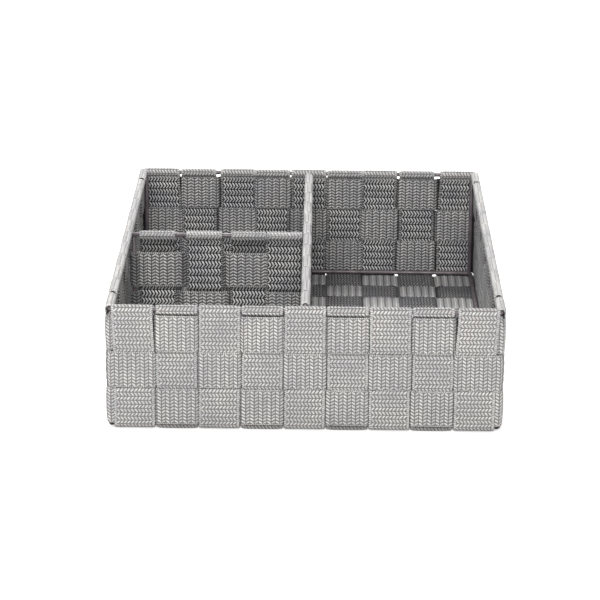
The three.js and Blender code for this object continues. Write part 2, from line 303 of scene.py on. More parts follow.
# crossings are (from, to, side). An end is (wire, tail), or (stop,) where it is cut off.
def dividerLine(crossings, low, high, bulge):
    firstSide, lastSide = crossings[0][2], crossings[-1][2]
    if len(low) == 2:
        points = wireLoop(low[0], -1, firstSide, low[1])
    else:
        points = [(low[0], firstSide * lay["face"], 0)]
    for start, end, side in crossings:
        for at, rise in pillow(start + lay["dive"], end - lay["dive"]):
            points.append((at, side * (lay["face"] + rise * bulge()), -side))
    if len(high) == 2:
        points += wireLoop(high[0], 1, lastSide, high[1])[::-1]
    else:
        points.append((high[0], lastSide * lay["face"], 0))
    return points


# Rounds a centre line off, as stiff webbing does at each bend
def softened(points, closed):
    raw = np.array(points, float)
    if closed:
        raw = np.vstack([raw, raw[:1]])
    at = np.concatenate([[0], np.cumsum(np.hypot(*np.diff(raw[:, :2], axis=0).T))])
    evenly = np.linspace(0, at[-1], int(at[-1] / webbing["fineStep"]) + 1)
    fine = np.stack([np.interp(evenly, at, raw[:, k]) for k in range(3)], 1)
    spread = webbing["soften"] / webbing["fineStep"]
    reach = math.ceil(3 * spread)
    weights = np.exp(-0.5 * (np.arange(-reach, reach + 1) / spread) ** 2)
    if closed:
        wide = np.vstack([fine[-reach - 1:-1], fine, fine[1:reach + 1]])
    else:  # turned round its own ends, so that they stay where they are
        wide = np.vstack([2 * fine[0] - fine[reach:0:-1], fine,
                          2 * fine[-1] - fine[-2:-reach - 2:-1]])
    weights /= weights.sum()
    return np.stack([np.convolve(wide[:, k], weights, "valid") for k in range(3)], 1)


# Cuts the line where the relief of the zigzag has its points, and more often in a bend. Gives for
# each cut the distance along the webbing, the point, the way out of its face, and how it is pressed.
def cutsAlong(line, closed):
    run = np.concatenate([[0], np.cumsum(np.hypot(*np.diff(line[:, :2], axis=0).T))])
    ahead = np.gradient(line[:, :2], axis=0)
    if closed:
        ahead[0] = ahead[-1] = line[1, :2] - line[-2, :2]
    heading = np.unwrap(np.arctan2(ahead[:, 1], ahead[:, 0]))
    shares = np.array([share for share, _ in webbing["relief"]])
    if closed:  # a whole number of zigzags, stretched a little
        zigzags = round(run[-1] / webbing["chevron"])
        stretch = run[-1] / (zigzags * webbing["chevron"])
    else:
        zigzags = math.ceil(run[-1] / webbing["chevron"])
        stretch = 1
    cuts = ((np.arange(zigzags)[:, None] + shares).ravel()) * webbing["chevron"] * stretch
    cuts = np.append(cuts[cuts < run[-1] - 2 * webbing["fineStep"]], run[-1])
    turn = np.abs(np.diff(np.interp(cuts, run, heading)))
    parts = 1 + np.minimum(webbing["moreCuts"], (turn / webbing["sharpTurn"]).astype(int))
    finer = [a + (b - a) * k / n for a, b, n in zip(cuts, cuts[1:], parts) for k in range(n)]
    finer = np.array([*finer, run[-1]])
    x, y, pressed = (np.interp(finer, run, line[:, k]) for k in range(3))
    angle = np.interp(finer, run, heading)
    return finer / stretch, x, y, np.sin(angle), -np.cos(angle), pressed


# Once round the strap: place across, side, half thickness, and shares of relief and scallop
def ringOf(width):
    rows = webbing["section"]
    left = [(d - width / 2, *rest) for d, *rest in rows[1:]]
    right = [(width / 2 - d, *rest) for d, *rest in rows[:0:-1]]
    scallop = rows[0][-1]
    ring = [(-width / 2, 0, 0, 0, scallop)]
    ring += [(v, 1, *rest) for v, *rest in left + right]
    ring += [(width / 2, 0, 0, 0, scallop)]
    ring += [(v, -1, *rest) for v, *rest in (left + right)[::-1]]
    return np.array(ring).T


def easeIn(share):
    share = np.clip(share, 0, 1)
    return share * share * (3 - 2 * share)


def noLean(x, y):
    return np.zeros_like(x)


# How a face shows by where it lies: the webbing's material reads four shares at each point. They are
# painted shade inside the tray, with darker gaps and paler floats (0 outside the tray, 1 inside), a
# painted highlight on the ribs, painted shade where the face is tucked under another strap, where
# little light comes, and a painted highlight on a fold over a wire, where the gaps show less.
showing = {
    "hoopDeep": 0.42,  # how much of the painted inside shade shows on the inner face of a hoop, and on a divider's band
    "floorDeep": 0.5,  # and on a crosswise strap of the floor
    "floorShade": 0.5,  # painted shade on a lengthwise strap, which lies lower there than the crosswise ones
    "tuckFrom": 0.65,  # a face that is pressed out less than this starts to be tucked away
    "tuckRun": 1.0,  # and it is wholly tucked away this much further in
    "footLight": 0.45,  # light from the table takes back this share of the painted shade at the foot of a wall
    "openTuck": 0.6,  # a divider has only this share of the painted tucked shade, as it gets light from behind as well
    "slotFade": 1.0,  # mm
}


def shadeWhereTucked(pressed, side):
    return easeIn((showing["tuckFrom"] - np.outer(pressed, side)) / showing["tuckRun"])


# painted shade in the gaps of a hoop's inner face, and painted shade where it is tucked away
def hoopFace(x, y, side, pressed):
    insideShade = np.tile((side < 0) * showing["hoopDeep"], (len(x), 1))
    none = np.zeros_like(insideShade)
    return insideShade, none, shadeWhereTucked(pressed, side), none


def wallFace(half, insideShade, ribHighlight, x, y, side, pressed):
    belowHem = easeIn((lay["hemFoot"] - y) / lay["foldRun"])
    # painted shade where a face is tucked away, taken back in part outside at the foot of a wall,
    # where the table gives light
    foot = np.outer(easeIn((tray["base"] + lay["inner"] - y) / lay["inner"]), side > 0)
    tucked = shadeWhereTucked(pressed, side) * belowHem[:, None] * (1 - showing["footLight"] * foot)

    # painted shade under the hem, between its two layers
    fade, inset = showing["slotFade"], half - np.abs(x)
    slot = easeIn((lay["hem"] - y) / fade) * easeIn((y - lay["hemFoot"]) / fade + 1)
    slot *= easeIn((inset - lay["face"]) / lay["face"])
    slot *= easeIn((lay["third"] + lay["tailClear"] - inset) / fade)
    tucked = np.maximum(tucked, slot[:, None])

    # a painted highlight on the fold over the rim wire, where the gaps show less
    rubbed = easeIn((y - lay["hem"]) / lay["foldRun"])
    inner = side < 0
    return (np.outer(insideShade * belowHem, inner), np.outer(ribHighlight, inner), tucked,
            np.outer(rubbed, np.ones_like(side)))


def onFloor(y):
    return easeIn((tray["base"] - y) / lay["outer"])


def lengthwiseFace(x, y, side, pressed):
    none = np.zeros_like(y)
    insideShade, ribHighlight, tucked, _ = wallFace(tray["halfDepth"], 1, none, x, y, side, pressed)
    # painted shade on the lengthwise straps of the floor
    low = np.outer(onFloor(y) * showing["floorShade"], side < 0)
    return insideShade, ribHighlight, np.maximum(tucked, low), np.zeros_like(insideShade)


def crosswiseFace(x, y, side, pressed):  # its ribs get a painted highlight where it lies on the floor
    insideShade = 1 - onFloor(y) * (1 - showing["floorDeep"])
    return wallFace(tray["halfWidth"], insideShade, onFloor(y), x, y, side, pressed)


# For a bake a strap is laid out in as many rows as make a square, with room for its cut ends at
# the right. Gives the place of every corner of the faces between the cuts.
def bakeLayout(along, across, side, half, cornersI, cornersJ):
    margin, lastStep = webbing["bakeMargin"], webbing["section"][1][1]
    around = np.cumsum(np.hypot(np.diff(across), np.diff(side * half)))
    place = np.concatenate([[0], around, [around[-1] + lastStep]])
    rowCount = max(1, round(math.sqrt(along[-1] / place[-1])))
    rowLength = along[-1] / rowCount
    row = np.minimum(along[cornersI[:, :1]] // rowLength, rowCount - 1)
    inRow = (along[cornersI] - row * rowLength) / (rowLength + webbing["chevron"] / 4)
    bakeU = margin + (1 - 3 * margin) * inRow
    bakeV = (row + margin + (1 - 2 * margin) * place[cornersJ] / place[-1]) / rowCount
    return np.stack([bakeU, bakeV], -1).reshape(-1, 2)


def bakedEnd(across, thick, width, quarter):  # a cut end stands in the margin, so many quarters up
    margin = webbing["bakeMargin"]
    return np.stack([1 - margin + margin * (0.5 + webbing["endThick"] * thick),
                     quarter / 4 + webbing["endWide"] * across / width], 1)


straps = []  # every strap gets its own stretch of the weave and its own sway


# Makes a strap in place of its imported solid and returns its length. axes are the directions of
# along and up, aside gives how far it leans out of its plane, and hand -1 turns the zigzag over.
def weave(name, node, points, width, axes, origin,
          aside=noLean, faceOf=hoopFace, spare=handwork["spare"], hand=1, closed=False):
    number = len(straps)
    random = np.random.default_rng(number)
    along, x, y, outX, outY, pressed = cutsAlong(softened(points, closed), closed)
    across, side, half, reliefShare, scallopShare = ringOf(width + spare)
    length, chevron = along[-1], webbing["chevron"]
    ribToRib, heights = np.array(webbing["relief"]).T
    relief = np.interp(along / chevron % 1, np.append(ribToRib, 1), np.append(heights, heights[0]))
    between = 1 - np.clip(relief / heights[0], 0, 1)
    waves = [(k, random.uniform(0, 2 * math.pi)) for k in handwork["swayWaves"]]
    sway = sum(np.sin(2 * math.pi * k * along / length + start) for k, start in waves)
    sideways = handwork["sway"] / 2 * sway + aside(x, y)
    thick = half + np.outer(relief, reliefShare)
    crown = np.outer(-pressed * webbing["crown"], (2 * across / width) ** 2)
    out = side * thick + crown
    drawnIn = np.outer(between, webbing["scallop"] * scallopShare) * np.sign(across)
    beside = across - drawnIn + sideways[:, None]
    e1, e2 = (np.array(axis, float) for axis in axes)
    e3 = np.cross(e1, e2)
    spots = (np.array(origin, float)
             + (x[:, None] + out * outX[:, None])[..., None] * e1
             + (y[:, None] + out * outY[:, None])[..., None] * e2
             + beside[..., None] * e3)
    ringSize, cutCount = len(across), len(along)
    distinct = cutCount - 1 if closed else cutCount  # a hoop's last cut is its first one again

    i, j = np.meshgrid(np.arange(cutCount - 1), np.arange(ringSize), indexing="ij")
    cornersI = np.stack([i, i + 1, i + 1, i], -1).reshape(-1, 4)
    cornersJ = np.stack([j, j, j + 1, j + 1], -1).reshape(-1, 4)
    faces = ((cornersI % distinct) * ringSize + cornersJ % ringSize).tolist()
    start = number * webbing["nextStrap"] * chevron
    acrossLoop = hand * np.append(across, across[0])
    webUv = np.stack([along[cornersI] + start, acrossLoop[cornersJ]], -1).reshape(-1, 2)
    bakeUv = bakeLayout(along, across, side, half, cornersI, cornersJ)
    if not closed:  # the two cut ends
        ring = np.arange(ringSize)
        for end, order, quarter in ((0, ring, 1), (cutCount - 1, ring[::-1], 3)):
            faces.append((end * ringSize + order).tolist())
            endUv = np.stack([np.full(ringSize, along[end] + start), acrossLoop[order]], 1)
            webUv = np.vstack([webUv, endUv])
            endBake = bakedEnd(across[order], (side * half)[order], width, quarter)
            bakeUv = np.vstack([bakeUv, endBake])

    mesh = bpy.data.meshes.new(name)
    mesh.from_pydata((spots[:distinct].reshape(-1, 3) * mm).tolist(), [], faces)
    for label, uv in (("webbing", webUv), ("OFBake", bakeUv)):
        mesh.uv_layers.new(name=label).data.foreach_set("uv", uv.ravel())
    shares = faceOf(x, y, side, pressed)
    for label, values in zip(("deepGaps", "paleRibs", "tucked", "rubbed"), shares):
        attribute = mesh.attributes.new(label, "FLOAT", "POINT")
        attribute.data.foreach_set("value", values[:distinct].astype(float).ravel())
    mesh.shade_smooth()
    mesh.materials.append(webbingMaterial)
    strap = bpy.data.objects.new(name, mesh)
    bpy.context.scene.collection.objects.link(strap)
    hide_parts(node)
    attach(strap, "root")
    straps.append(strap)
    return length


def addNode(tree, kind, settings, inputs):
    node = tree.nodes.new(kind)
    for key, value in settings.items():
        setattr(node, key, value)
    for key, value in inputs.items():
        if isinstance(value, bpy.types.Node):
            value = value.outputs[0]
        if isinstance(value, bpy.types.NodeSocket):
            tree.links.new(value, node.inputs[key])
        else:
            node.inputs[key].default_value = value
    return node


def newMaterial(name):
    material = bpy.data.materials.new(name)
    material.use_nodes = True
    material.node_tree.nodes.clear()
    return material, material.node_tree


yarn = {
    # the first of two is for the outside of the tray, the second for the inside, with painted shade
    # in darker gaps and paler floats as a painted highlight
    "pale": ("#efedea", "#fbfaf8"),
    "cool": ("#dadadd", "#dcdce0"),
    # the gaps are dark partly in their own colour and partly with painted shade, the inside pair with
    # much more painted shade
    "gap": ("#73706f", "#2a2828"),
    "tuck": 0.86,  # painted shade: a face loses this share of its colour where it is tucked away
    "rubbed": 0.16,  # a painted highlight: the gaps are this much shallower along the side rims and the dividers
    "lift": 1.0,  # height of a stitch over the gaps
    "gapAt": (0.08, 0.42),  # stitch height up to which a gap is dark
    "paleAt": (0.62, 0.9),  # and from which a stitch has its full colour
    "grooveDip": (0.05, 0.5),  # a stitch shows this much of its colour in a groove
    "ribDip": (0.08, 0.75),  # and this much on a rib
    "floatFrom": -1.0,  # the cosine of the zigzag, where a float starts and where it is full
    "floatTo": 0.35,
    "polishReach": 0.6,  # how far the painted highlight on a rib, a rib and a groove reach along the webbing
    "ribReach": 0.85,
    "grooveReach": 0.85,
    "stitchShade": 0.1,  # a stitch is up to this much darker than its neighbour
    "oneWay": 0.16,  # stitches that lean the other way catch less light
    "filamentPitch": 0.6,  # filaments are 0.1 mm wide, and drawn coarser so that they show
    "filamentLength": 2.0,
    "filament": 0.22,  # what they add to the height of a stitch
    "streak": 0.38,  # and take from its colour
    "streakRange": (0.25, 0.75),  # from noise value to noise value, the whole of a change
    "cloudRange": (0.35, 0.65),
    "roughRange": (0.3, 0.7),
    "roughness": (0.45, 0.6),
    "drift": 0.8,  # the zigzag lines stray up to this far
    "driftLength": 6.0,
    "selvedgeFrom": 11.0,  # from the middle of the strap
    "selvedgeTo": 11.5,
    "selvedgePitch": 1.34,
    "selvedgeSlant": 1.6,
    "selvedgeBars": (0.2, 0.9),  # as stitch heights
    "cloudLength": 22.0,  # lengths of cooler yarn
    "ior": 1.49,
    "gloss": 0.1,  # the filaments scatter most of it
    "sheen": 0.05,
    "sheenRoughness": 0.4,
}


# Woven polypropylene webbing: pale floats in a herringbone over dark gaps, each of a slightly
# different shade, a soft sheen along the filaments, and a fine barred selvedge. The gaps are partly
# dark with painted shade, painted shade darkens the inside of the tray and tucked faces, and painted
# highlights lie on the floor's ribs and on the folds over the wires.
def polypropyleneWebbing():
    material, tree = newMaterial("polypropyleneWebbing")
    half = webbing["chevron"] / 2
    uv = addNode(tree, "ShaderNodeUVMap", {"uv_map": "webbing"}, {})
    flat = addNode(tree, "ShaderNodeSeparateXYZ", {}, {0: uv})

    # the zigzag, never quite even from the loom
    drift = addNode(tree, "ShaderNodeTexNoise", {},
                    {"Vector": uv, "Scale": 1 / yarn["driftLength"], "Detail": 2.0})
    drifted = addNode(tree, "ShaderNodeMath", {"operation": "MULTIPLY_ADD"},
                      {0: drift, 1: yarn["drift"], 2: flat.outputs["Y"]})
    turn = addNode(tree, "ShaderNodeMath", {"operation": "PINGPONG"}, {0: flat.outputs["X"], 1: half})
    lean = addNode(tree, "ShaderNodeMath", {"operation": "MULTIPLY_ADD"},
                   {0: turn, 1: webbing["slant"], 2: drifted})
    line = addNode(tree, "ShaderNodeMath", {"operation": "DIVIDE"},
                   {0: lean, 1: webbing["stitchPitch"]})
    lineTurn = addNode(tree, "ShaderNodeMath", {"operation": "MULTIPLY"}, {0: line, 1: 2 * math.pi})
    wave = addNode(tree, "ShaderNodeMath", {"operation": "COSINE"}, {0: lineTurn})
    thread = addNode(tree, "ShaderNodeMapRange", {"interpolation_type": "SMOOTHSTEP"},
                     {0: wave, 1: yarn["floatFrom"], 2: yarn["floatTo"]})
    rounded = addNode(tree, "ShaderNodeMapRange", {}, {0: wave, 1: -1.0, 2: 1.0})

    # a stitch dips in the grooves and on the ribs
    # painted shade inside the tray: darker, deeper gaps and paler floats, by the mesh's share
    insideShade = addNode(tree, "ShaderNodeAttribute", {"attribute_name": "deepGaps"}, {})
    gapAt, paleAt, grooveDip, ribDip = (
        addNode(tree, "ShaderNodeMix", {}, {0: insideShade.outputs["Fac"], 2: yarn[key][0], 3: yarn[key][1]})
        for key in ("gapAt", "paleAt", "grooveDip", "ribDip"))
    arch = addNode(tree, "ShaderNodeMapRange", {"interpolation_type": "SMOOTHSTEP"},
                   {0: turn, 1: half, 2: half - yarn["grooveReach"], 3: grooveDip, 4: 1.0})
    dip = addNode(tree, "ShaderNodeMapRange", {"interpolation_type": "SMOOTHSTEP"},
                  {0: turn, 1: 0.0, 2: yarn["ribReach"], 3: ribDip, 4: 1.0})
    bothEnds = addNode(tree, "ShaderNodeMath", {"operation": "MULTIPLY"}, {0: arch, 1: dip})
    stitch = addNode(tree, "ShaderNodeMath", {"operation": "MULTIPLY"}, {0: thread, 1: bothEnds})
    crest = addNode(tree, "ShaderNodeMath", {"operation": "MULTIPLY"}, {0: rounded, 1: bothEnds})

    # filaments run along a stitch
    bandNumber = addNode(tree, "ShaderNodeMath", {"operation": "DIVIDE"},
                         {0: flat.outputs["X"], 1: half})
    bandWhole = addNode(tree, "ShaderNodeMath", {"operation": "FLOOR"}, {0: bandNumber})
    lengthwise = addNode(tree, "ShaderNodeMath", {"operation": "DIVIDE"},
                         {0: flat.outputs["X"], 1: yarn["filamentLength"]})
    crosswise = addNode(tree, "ShaderNodeMath", {"operation": "DIVIDE"},
                        {0: lean, 1: yarn["filamentPitch"]})
    filamentAt = addNode(tree, "ShaderNodeCombineXYZ", {},
                         {0: lengthwise, 1: crosswise, 2: bandWhole})
    filament = addNode(tree, "ShaderNodeTexNoise", {},
                       {"Vector": filamentAt, "Scale": 1.0, "Detail": 1.0})

    # the selvedge, barred by the weft that turns back there
    fromMiddle = addNode(tree, "ShaderNodeMath", {"operation": "ABSOLUTE"}, {0: flat.outputs["Y"]})
    edge = addNode(tree, "ShaderNodeMapRange", {"interpolation_type": "SMOOTHSTEP"},
                   {0: fromMiddle, 1: yarn["selvedgeFrom"], 2: yarn["selvedgeTo"]})
    barTurn = addNode(tree, "ShaderNodeMath", {"operation": "MULTIPLY"},
                      {0: flat.outputs["X"], 1: 2 * math.pi / yarn["selvedgePitch"]})
    barLean = addNode(tree, "ShaderNodeMath", {"operation": "MULTIPLY_ADD"},
                      {0: fromMiddle, 1: yarn["selvedgeSlant"], 2: barTurn})
    barWave = addNode(tree, "ShaderNodeMath", {"operation": "COSINE"}, {0: barLean})
    low, high = yarn["selvedgeBars"]
    bar = addNode(tree, "ShaderNodeMapRange", {}, {0: barWave, 1: -1.0, 2: 1.0, 3: low, 4: high})

    face = addNode(tree, "ShaderNodeMix", {}, {0: edge, 2: stitch, 3: bar})
    height = addNode(tree, "ShaderNodeMix", {}, {0: edge, 2: crest, 3: bar})
    surface = addNode(tree, "ShaderNodeMath", {"operation": "MULTIPLY_ADD"},
                      {0: filament, 1: yarn["filament"], 2: height})

    # colour: gap or float, each float in its own shade; the gaps are dark partly in their own colour
    # and partly with painted shade
    lineNear = addNode(tree, "ShaderNodeMath", {"operation": "ROUND"}, {0: line})
    stitchNumber = addNode(tree, "ShaderNodeCombineXYZ", {}, {0: lineNear, 1: bandWhole})
    chance = addNode(tree, "ShaderNodeTexWhiteNoise", {"noise_dimensions": "2D"},
                     {"Vector": stitchNumber})
    shade = addNode(tree, "ShaderNodeMapRange", {},
                    {0: chance, 1: 0.0, 2: 1.0, 3: 1 - yarn["stitchShade"], 4: 1.0})
    otherWay = addNode(tree, "ShaderNodeMath", {"operation": "MODULO"}, {0: bandWhole, 1: 2.0})
    oneWay = addNode(tree, "ShaderNodeMath", {"operation": "MULTIPLY_ADD"},
                     {0: otherWay, 1: -yarn["oneWay"], 2: 1.0})
    low, high = yarn["streakRange"]
    streak = addNode(tree, "ShaderNodeMapRange", {},
                     {0: filament, 1: low, 2: high, 3: 1 - yarn["streak"], 4: 1.0})
    stitchTone = addNode(tree, "ShaderNodeMath", {"operation": "MULTIPLY"}, {0: shade, 1: oneWay})
    tone = addNode(tree, "ShaderNodeMath", {"operation": "MULTIPLY"}, {0: stitchTone, 1: streak})
    whole = addNode(tree, "ShaderNodeTexCoord", {}, {})
    cloudScale = 1 / (yarn["cloudLength"] * mm)
    cloud = addNode(tree, "ShaderNodeTexNoise", {},
                    {"Vector": whole.outputs["Object"], "Scale": cloudScale, "Detail": 3.0})
    low, high = yarn["cloudRange"]
    cloudy = addNode(tree, "ShaderNodeMapRange", {}, {0: cloud, 1: low, 2: high})
    pale, cool, gap = (
        addNode(tree, "ShaderNodeMix", {"data_type": "RGBA"},
                {0: insideShade.outputs["Fac"], 6: hexColour(yarn[key][0]), 7: hexColour(yarn[key][1])})
        for key in ("pale", "cool", "gap"))
    even = addNode(tree, "ShaderNodeMix", {"data_type": "RGBA"},
                   {0: cloudy, 6: pale.outputs[2], 7: cool.outputs[2]})
    toned = addNode(tree, "ShaderNodeVectorMath", {"operation": "SCALE"},
                    {0: even.outputs[2], "Scale": tone})
    # a painted highlight on the ribs of the floor's crosswise straps
    ribHighlight = addNode(tree, "ShaderNodeAttribute", {"attribute_name": "paleRibs"}, {})
    ribLine = addNode(tree, "ShaderNodeMapRange", {"interpolation_type": "SMOOTHSTEP"},
                      {0: turn, 1: yarn["polishReach"], 2: 0.0})
    ribPale = addNode(tree, "ShaderNodeMath", {"operation": "MULTIPLY"},
                      {0: ribHighlight.outputs["Fac"], 1: ribLine})
    ribbed = addNode(tree, "ShaderNodeMath", {"operation": "ADD"}, {0: face, 1: ribPale})
    # a painted highlight on the folds over the wires: the gaps show less there
    rubbed = addNode(tree, "ShaderNodeAttribute", {"attribute_name": "rubbed"}, {})
    wearAndHighlight = addNode(tree, "ShaderNodeMath", {"operation": "MULTIPLY_ADD"},
                   {0: rubbed.outputs["Fac"], 1: yarn["rubbed"], 2: ribbed})
    fill = addNode(tree, "ShaderNodeMapRange", {"interpolation_type": "SMOOTHSTEP"},
                   {0: wearAndHighlight, 1: gapAt, 2: paleAt})
    woven = addNode(tree, "ShaderNodeMix", {"data_type": "RGBA"},
                    {0: fill, 6: gap.outputs[2], 7: toned})

    # painted shade where a face is tucked away under another strap
    tucked = addNode(tree, "ShaderNodeAttribute", {"attribute_name": "tucked"}, {})
    kept = addNode(tree, "ShaderNodeMath", {"operation": "MULTIPLY_ADD"},
                   {0: tucked.outputs["Fac"], 1: -yarn["tuck"], 2: 1.0})
    colour = addNode(tree, "ShaderNodeVectorMath", {"operation": "SCALE"},
                     {0: woven.outputs[2], "Scale": kept})

    bump = addNode(tree, "ShaderNodeBump", {}, {"Height": surface, "Distance": yarn["lift"] * mm})
    low, high = yarn["roughRange"]
    smoothest, roughest = yarn["roughness"]
    rough = addNode(tree, "ShaderNodeMapRange", {},
                    {0: filament, 1: low, 2: high, 3: smoothest, 4: roughest})
    shader = addNode(tree, "ShaderNodeBsdfPrincipled", {}, {
        "Base Color": colour, "Roughness": rough, "IOR": yarn["ior"],
        "Specular IOR Level": yarn["gloss"],
        "Sheen Weight": yarn["sheen"], "Sheen Roughness": yarn["sheenRoughness"], "Normal": bump})
    addNode(tree, "ShaderNodeOutputMaterial", {}, {"Surface": shader})
    return material


wire = {
    "radius": 1.5,
    "rimCorner": 3.0,  # bend of the wire at a corner of the tray
    "baseCorner": 4.0,
    "sides": 20,
    "endRound": 0.5,
    "paint": "#61585d",
    "dulled": "#484144",
    "peelLength": 0.7,  # orange peel of the paint, and its height
    "peel": 0.03,
    "dustLength": 6.0,
    "dustRange": (0.4, 0.72),  # noise values from clean to dulled
    "roughRange": (0.3, 0.7),
    "roughness": (0.3, 0.5),
    "ior": 1.5,
}


# Steel wire under a thin mauve-grey powder coat: half gloss, a faint orange peel, and a little
# darker where dust and handling have dulled it
def paintedSteelWire():
    material, tree = newMaterial("paintedSteelWire")
    body = addNode(tree, "ShaderNodeTexCoord", {}, {})
    peelScale, dustScale = (1 / (wire[key] * mm) for key in ("peelLength", "dustLength"))
    peel = addNode(tree, "ShaderNodeTexNoise", {},
                   {"Vector": body.outputs["Object"], "Scale": peelScale, "Detail": 2.0})
    dust = addNode(tree, "ShaderNodeTexNoise", {},
                   {"Vector": body.outputs["Object"], "Scale": dustScale, "Detail": 4.0})
    low, high = wire["dustRange"]
    wearAndHighlight = addNode(tree, "ShaderNodeMapRange", {}, {0: dust, 1: low, 2: high})
    colour = addNode(tree, "ShaderNodeMix", {"data_type": "RGBA"},
                     {0: wearAndHighlight, 6: hexColour(wire["paint"]), 7: hexColour(wire["dulled"])})
    low, high = wire["roughRange"]
    smoothest, roughest = wire["roughness"]
    rough = addNode(tree, "ShaderNodeMapRange", {},
                    {0: dust, 1: low, 2: high, 3: smoothest, 4: roughest})
    bump = addNode(tree, "ShaderNodeBump", {}, {"Height": peel, "Distance": wire["peel"] * mm})
    shader = addNode(tree, "ShaderNodeBsdfPrincipled", {}, {
        "Base Color": colour.outputs[2], "Roughness": rough, "IOR": wire["ior"], "Normal": bump})
    addNode(tree, "ShaderNodeOutputMaterial", {}, {"Surface": shader})
    return material


webbingMaterial = polypropyleneWebbing()
wireMaterial = paintedSteelWire()
print("materials ready")


def leanAt(index, count, most):  # the first and the last strap spread over the corners of the rim
    rise = tray["rim"] - handwork["leanFrom"]
    toCorner = {0: -1, count - 1: 1}.get(index, 0) * most
    return lambda y: toCorner * easeIn((y - handwork["leanFrom"]) / rise)


def strayOf(column):  # a lengthwise strap drifts to the side from the front to the back
    lean = leanAt(column, len(tray["columns"]), handwork["frontLean"])
    stray = handwork["stray"][column]
    return lambda x, y: stray * easeIn((x / tray["halfDepth"] + 1) / 2) + lean(y)


def leanOf(row):
    lean = leanAt(row, len(tray["rows"]), -handwork["cornerLean"])
    return lambda x, y: lean(y)


lengthAxes = ((0, 1, 0), (0, 0, 1))
widthAxes = ((1, 0, 0), (0, 0, 1))
hoopAxes = ((1, 0, 0), (0, 1, 0))
spent = 0
for column, x in enumerate(tray["columns"]):
    line = trayStrapLine(tray["halfDepth"], tray["rows"], tray["rowWidth"],
                         lambda row: not insideWeave(column, row), bulgeFor("lengthwise", column))
    spent += weave(f"webbing.lengthwise.{column + 1}", f"lengthwise_strap_{column + 1}", line,
                   tray["columnWidth"], lengthAxes, (x, 0, 0),
                   aside=strayOf(column), faceOf=lengthwiseFace)
for row, y in enumerate(tray["rows"]):
    line = trayStrapLine(tray["halfWidth"], tray["columns"], tray["columnWidth"],
                         lambda column: insideWeave(column, row), bulgeFor("crosswise", row))
    spent += weave(f"webbing.crosswise.{row + 1}", f"crosswise_strap_{row + 1}", line,
                   tray["rowWidth"], widthAxes, (0, y, 0),
                   aside=leanOf(row), faceOf=crosswiseFace)
print(f"floor and walls woven: {spent / 1000:.1f} m of webbing")

backColumns = [-(x + aside) for x, aside in zip(tray["columns"], handwork["stray"])][::-1]
for hoop, z in enumerate(tray["hoops"]):
    line = hoopLine(hoop, backColumns, bulgeFor("hoop", hoop))
    spent += weave(f"webbing.hoop.{hoop + 1}", f"wall_hoop_{hoop + 1}", line,
                   tray["hoopWidth"], hoopAxes, (0, 0, z), spare=handwork["hoopSpare"], closed=True)
print("hoops woven")


def uprightSide(index, band):  # on which side of a band an upright passes it
    return -1 if (index + band) % 2 == 0 else 1


def dividerFace(share, hem=math.inf):  # both faces get painted inside shade, up to the bend over the wire, and a painted highlight on the fold above it
    def shares(x, y, side, pressed):
        both = np.ones_like(side)
        below = np.outer(easeIn((hem - x) / lay["foldRun"]), both)
        rubbed = np.outer(easeIn((x - hem) / lay["foldRun"]), both)
        tucked = shadeWhereTucked(pressed, side) * below * showing["openTuck"]
        return share * below, np.zeros_like(below), tucked, rubbed
    return shares


# Uprights and bands of one divider. reach is the number of the axis that it runs along, and ends
# says how its bands end.
def weaveDivider(stem, reach, acrossAxis, alongAxis, origin, ends):
    bands = [boxOf(name) for name in numbered(f"{stem}_band_")]
    uprights = [boxOf(name) for name in numbered(f"{stem}_upright_")]
    topWire, baseWire = (middleOf(f"{stem}_{name}_wire")[2] for name in ("top", "base"))
    seed = handwork["dividerSeeds"] * reach
    total = 0
    for index, (low, high) in enumerate(uprights):
        crossings = [(bandLow[2], bandHigh[2], uprightSide(index, band))
                     for band, (bandLow, bandHigh) in enumerate(bands)]
        line = dividerLine(crossings, (baseWire, lay["footTail"]), (topWire, lay["hemTail"]),
                           bulgeFor("upright", index + seed))
        centre = np.array(origin, float)
        centre[reach] = (low[reach] + high[reach]) / 2
        total += weave(f"webbing.{stem}.upright.{index + 1}", f"{stem}_upright_{index + 1}", line,
                       high[reach] - low[reach], ((0, 0, 1), acrossAxis), centre,
                       faceOf=dividerFace(1, lay["hem"]), hand=-1)  # its zigzag is turned over
    for band, (low, high) in enumerate(bands):
        crossings = [(upLow[reach], upHigh[reach], -uprightSide(index, band))
                     for index, (upLow, upHigh) in enumerate(uprights)]
        line = dividerLine(crossings, *ends, bulgeFor("band", band + seed))
        centre = np.array(origin, float)
        centre[2] = (low[2] + high[2]) / 2
        total += weave(f"webbing.{stem}.band.{band + 1}", f"{stem}_band_{band + 1}", line,
                       high[2] - low[2], (alongAxis, acrossAxis), centre,
                       faceOf=dividerFace(showing["hoopDeep"]))
    return total


longX = middleOf("long_divider_top_wire")[0]
crossY = middleOf("cross_divider_top_wire")[1]
longEnds = [(middleOf(f"long_divider_post_{end}")[1], lay["bandTail"]) for end in ("front", "back")]
crossEnds = [(middleOf("cross_divider_post")[0], lay["bandTail"]),
             (boxOf("cross_divider_band_1")[1][0],)]
spent += weaveDivider("long_divider", 1, (-1, 0, 0), (0, 1, 0), (longX, 0, 0), longEnds)
spent += weaveDivider("cross_divider", 0, (0, 1, 0), (1, 0, 0), (0, crossY, 0), crossEnds)
print(f"dividers woven: {spent / 1000:.1f} m in all")


